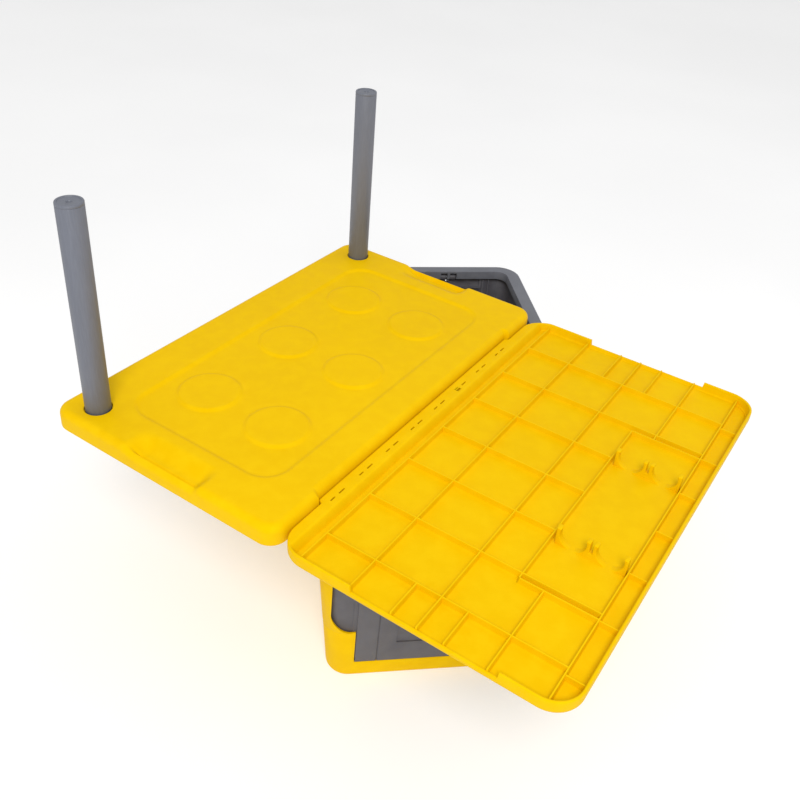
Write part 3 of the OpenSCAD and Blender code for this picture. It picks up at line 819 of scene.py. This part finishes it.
def times(tree, a, b, kind="MULTIPLY"):
    n = add_node(tree, "ShaderNodeMath", operation=kind)
    for socket, value in ((n.inputs[0], a), (n.inputs[1], b)):
        if isinstance(value, (int, float)):
            socket.default_value = value
        else:
            tree.links.new(value, socket)
    return n.outputs[0]


def plastic(name, deep, main, pale, rough, grain, grain_depth, gloss=0.5, stretch=(1, 1, 1), sheen=(1, 1, 1)):
    """Moulded plastic: cloudy tint, spark-grain bump, fine handling scratches, and paler convex edges that are partly
    wear and partly painted highlight.
    """
    mat, tree, shader, where = new_material(name)
    cloud = spread(tree, noise(tree, where, 7.0, 3.0), 0.3, 0.7)
    fine = spread(tree, noise(tree, where, 60.0, 4.0, 0.6, stretch), 0.35, 0.7)
    colour = blend_colour(tree, cloud, deep, main)
    colour = blend_colour(tree, times(tree, fine, 0.35), colour, pale)
    # Handling scratches: thin threads in two directions
    threads = []
    for along in ((3, 60, 30), (55, 4, 40)):
        line = noise(tree, where, 6.0, 2.0, 0.4, along)
        threads.append(spread(tree, times(tree, times(tree, line, 0.5, "SUBTRACT"), 0.0, "ABSOLUTE"),
                              0.004, 0.0, 0.0, 1.0))
    patches = spread(tree, noise(tree, where, 11.0, 2.0), 0.55, 0.72)
    scratch = times(tree, times(tree, threads[0], threads[1], "MAXIMUM"), patches)
    # Paler convex edges: painted highlight along every edge, together with some edge wear
    geometry = add_node(tree, "ShaderNodeNewGeometry")
    edge_wear_and_highlight = spread(tree, geometry.outputs["Pointiness"], 0.53, 0.62, 0.0, 0.35)
    colour = blend_colour(tree, times(tree, times(tree, scratch, 0.35), edge_wear_and_highlight, "MAXIMUM"), colour, pale)
    tree.links.new(colour, shader.inputs["Base Color"])
    dull = times(tree, times(tree, fine, 0.10), rough, "ADD")
    dull = times(tree, times(tree, scratch, 0.12), dull, "ADD")
    tree.links.new(dull, shader.inputs["Roughness"])
    shader.inputs["Specular IOR Level"].default_value = gloss
    shader.inputs["Specular Tint"].default_value = (*sheen, 1.0)
    pits = noise(tree, where, grain, 2.0, 0.6)
    height = times(tree, pits, times(tree, scratch, 0.6), "SUBTRACT")
    bump = add_node(tree, "ShaderNodeBump", {"Strength": 1.0, "Distance": grain_depth})
    tree.links.new(height, bump.inputs["Height"])
    # Slow waviness of a large moulded face
    wave = noise(tree, where, 16.0, 1.0)
    sway = add_node(tree, "ShaderNodeBump", {"Strength": 1.0, "Distance": 0.00012})
    tree.links.new(wave, sway.inputs["Height"])
    tree.links.new(sway.outputs["Normal"], bump.inputs["Normal"])
    tree.links.new(bump.outputs["Normal"], shader.inputs["Normal"])
    return mat


def drawn_steel(name):
    """Drawn steel rod: lengthwise streaks and a few dull spots."""
    mat, tree, shader, where = new_material(name)
    streak = spread(tree, noise(tree, where, 40.0, 3.0, 0.6, (20, 1, 20)), 0.3, 0.7)
    spots = spread(tree, noise(tree, where, 90.0, 3.0), 0.6, 0.75)
    colour = blend_colour(tree, streak, (0.50, 0.51, 0.53), (0.66, 0.67, 0.69))
    colour = blend_colour(tree, times(tree, spots, 0.5), colour, (0.33, 0.31, 0.29))
    tree.links.new(colour, shader.inputs["Base Color"])
    shader.inputs["Metallic"].default_value = 1.0
    dull = times(tree, times(tree, spots, 0.25), times(tree, times(tree, streak, 0.12), 0.24, "ADD"), "ADD")
    tree.links.new(dull, shader.inputs["Roughness"])
    bump = add_node(tree, "ShaderNodeBump", {"Strength": 0.6, "Distance": 0.00005})
    tree.links.new(streak, bump.inputs["Height"])
    tree.links.new(bump.outputs["Normal"], shader.inputs["Normal"])
    return mat


def pale_floor(name):
    mat, tree, shader, where = new_material(name)
    cloud = spread(tree, noise(tree, where, 1.5, 3.0), 0.3, 0.7)
    colour = blend_colour(tree, cloud, (0.69, 0.69, 0.69), (0.72, 0.72, 0.72))
    tree.links.new(colour, shader.inputs["Base Color"])
    tree.links.new(times(tree, times(tree, cloud, 0.1), 0.6, "ADD"), shader.inputs["Roughness"])
    shader.inputs["Specular IOR Level"].default_value = 0.2
    shader.inputs["Emission Color"].default_value = (1, 1, 1, 1)
    shader.inputs["Emission Strength"].default_value = 0.3
    return mat


YELLOW = plastic("yellow_moulded", (0.770, 0.468, 0.0006), (0.80, 0.490, 0.0006), (0.85, 0.56, 0.005), 0.50, 2600.0, 0.00005,
                 gloss=0.08, sheen=(1.0, 0.75, 0.05))
GREY = plastic("grey_moulded", (0.074, 0.071, 0.081), (0.086, 0.082, 0.094), (0.14, 0.137, 0.15), 0.50, 2200.0, 0.00008)
RIM_GREY = plastic("rim_moulded", (0.115, 0.119, 0.138), (0.132, 0.137, 0.158), (0.18, 0.186, 0.21), 0.46, 2200.0, 0.00006)
LEG_GREY = plastic("leg_extruded", (0.120, 0.128, 0.156), (0.134, 0.144, 0.176), (0.18, 0.19, 0.225), 0.42, 1800.0, 0.00004,
                   stretch=(14, 14, 1))
STEEL = drawn_steel("drawn_steel")


# ---------- pieces, the bodies they ride on and the CAD nodes they stand for ----------

def place(ob, material, body, slot, *nodes):
    ob.data.materials.clear()
    ob.data.materials.append(material)
    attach(ob, body)
    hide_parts(*nodes)


place(build_leaf(), YELLOW, "leaf", "yellow_plastic", "leaf_shell", "leaf_table_skin")
place(build_lid(), YELLOW, "lid", "yellow_plastic", "lid_tray")
place(knuckles("lid_knuckle_row", 1), YELLOW, "lid", "yellow_plastic", "lid_knuckles")
place(knuckles("leaf_knuckle_row", -1), YELLOW, "leaf", "yellow_plastic", "leaf_knuckles")
place(build_clip("front", -82.0), YELLOW, "lid", "yellow_plastic", "leg_clip_front")
place(build_clip("rear", 57.0), YELLOW, "lid", "yellow_plastic", "leg_clip_rear")
for word, side in (("front", -1), ("rear", 1)):
    tube, cap = leg_pieces(word, side)
    place(tube, LEG_GREY, "leg_" + word, "leg_grey", "leg_tube_" + word)
    place(cap, LEG_GREY, "leg_" + word, "leg_grey", "leg_cap_" + word)
    place(build_end(word, side), GREY, word + "_panel", "grey_plastic", "end_panel_" + word)
place(build_base(), YELLOW, "crate", "yellow_plastic", "base_tray")
place(build_rim(), RIM_GREY, "crate", "grey_plastic", "rim_frame")
for word, side in (("left", -1), ("right", 1)):
    place(build_lower(word, side), YELLOW, "crate", "yellow_plastic", "lower_side_" + word)
    place(build_upper(word, side), YELLOW, "crate", "yellow_plastic", "upper_side_" + word)
    for end, fore in (("front", -1), ("rear", 1)):
        full = end + "_" + word
        place(build_post(full, side, fore), GREY, "crate", "grey_plastic", "corner_post_" + full)

FINISH = {"yellow_plastic": YELLOW, "grey_plastic": GREY, "leg_grey": LEG_GREY, "steel": STEEL}
for part in frame["record"]["subparts"]:
    shown = frame["nodes"][part["node"]]
    shown.data.materials.clear()
    shown.data.materials.append(FINISH[part["material_slot"]])


# ---------- floor, light and camera ----------

def stage_floor():
    reach = 6.0
    verts = [(-reach * 1000, -reach * 1000, 0), (reach * 1000, -reach * 1000, 0),
             (reach * 1000, reach * 1000, 0), (-reach * 1000, reach * 1000, 0)]
    floor = make_object("studio_floor", [(x, y, -0.5) for x, y, _ in verts], [(0, 1, 2, 3)], matrix=ROW)
    floor.data.materials.append(pale_floor("floor_paint"))


def area_light(name, at, aim, size, power, colour=(1, 1, 1)):
    data = bpy.data.lights.new(name, "AREA")
    data.shape = "DISK"
    data.size = size
    data.energy = power
    data.color = colour
    ob = bpy.data.objects.new(name, data)
    ob.location = at
    ob.rotation_euler = (Vector(aim) - Vector(at)).to_track_quat("-Z", "Y").to_euler()
    bpy.context.scene.collection.objects.link(ob)


stage_floor()
area_light("key", (-0.4, -2.0, 2.3), (0, 0, 0.2), 1.1, 48)
area_light("fill", (1.7, 0.6, 2.2), (0, 0, 0.2), 1.8, 5)
world = bpy.data.worlds.new("studio")
bpy.context.scene.world = world
world.use_nodes = True
background = world.node_tree.nodes["Background"]
background.inputs["Color"].default_value = (1, 1, 1, 1)
background.inputs["Strength"].default_value = 0.70

camera_data = bpy.data.cameras.new("camera")
camera_data.lens = 40.405
camera_data.shift_y = -0.05
camera_data.sensor_width = 36.0
camera_data.clip_start = 0.02
camera = bpy.data.objects.new("camera", camera_data)
camera.location = (-0.1966, -0.8502, 0.8311)
look = (Vector((-0.0394, 0.0232, 0.24)) - camera.location).to_track_quat("-Z", "Y")
camera.rotation_mode = "QUATERNION"
camera.rotation_quaternion = look @ Matrix.Rotation(math.radians(4.93), 3, "Z").to_quaternion()
bpy.context.scene.collection.objects.link(camera)
bpy.context.scene.camera = camera
bpy.context.scene.view_settings.view_transform = "Standard"
